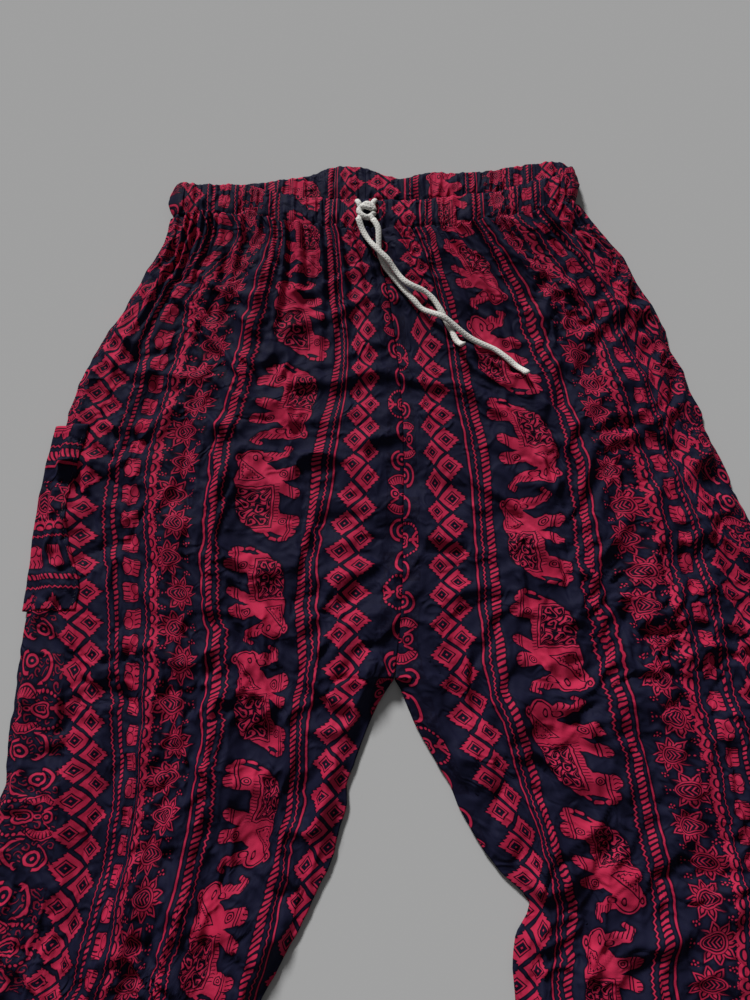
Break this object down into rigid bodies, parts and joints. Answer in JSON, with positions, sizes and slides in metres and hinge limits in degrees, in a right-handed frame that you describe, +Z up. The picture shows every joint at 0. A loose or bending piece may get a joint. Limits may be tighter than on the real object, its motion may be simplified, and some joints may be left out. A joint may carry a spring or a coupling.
{
  "type": "trousers",
  "caption": "Printed drawstring trousers of thin cloth, laid flat on their back with gathered waistband and a side patch pocket.",
  "frame": {"origin": "middle of the garment's outline at the surface it lies on, drawstring not counted", "axes": "+X towards the wearer's left leg, +Y from the hems towards the waistband, +Z up from the surface it lies on"},
  "size_m": [0.708, 0.9922, 0.0215],
  "materials": {
    "printed_cloth": "thin woven cloth, crimson print on dark navy",
    "casing_cloth": "the same printed cloth, gathered over an elastic",
    "cord_cotton": "soft flat cotton cord, off-white"
  },
  "bodies": {
    "root": {"front_right": "printed_cloth", "front_left": "printed_cloth", "back_right": "printed_cloth", "back_left": "printed_cloth", "waistband_front": "casing_cloth", "waistband_back": "casing_cloth", "pocket_right": "printed_cloth", "drawstring_knot": "cord_cotton", "drawstring_short": "cord_cotton", "drawstring_long": "cord_cotton"}
  },
  "joints": []
}
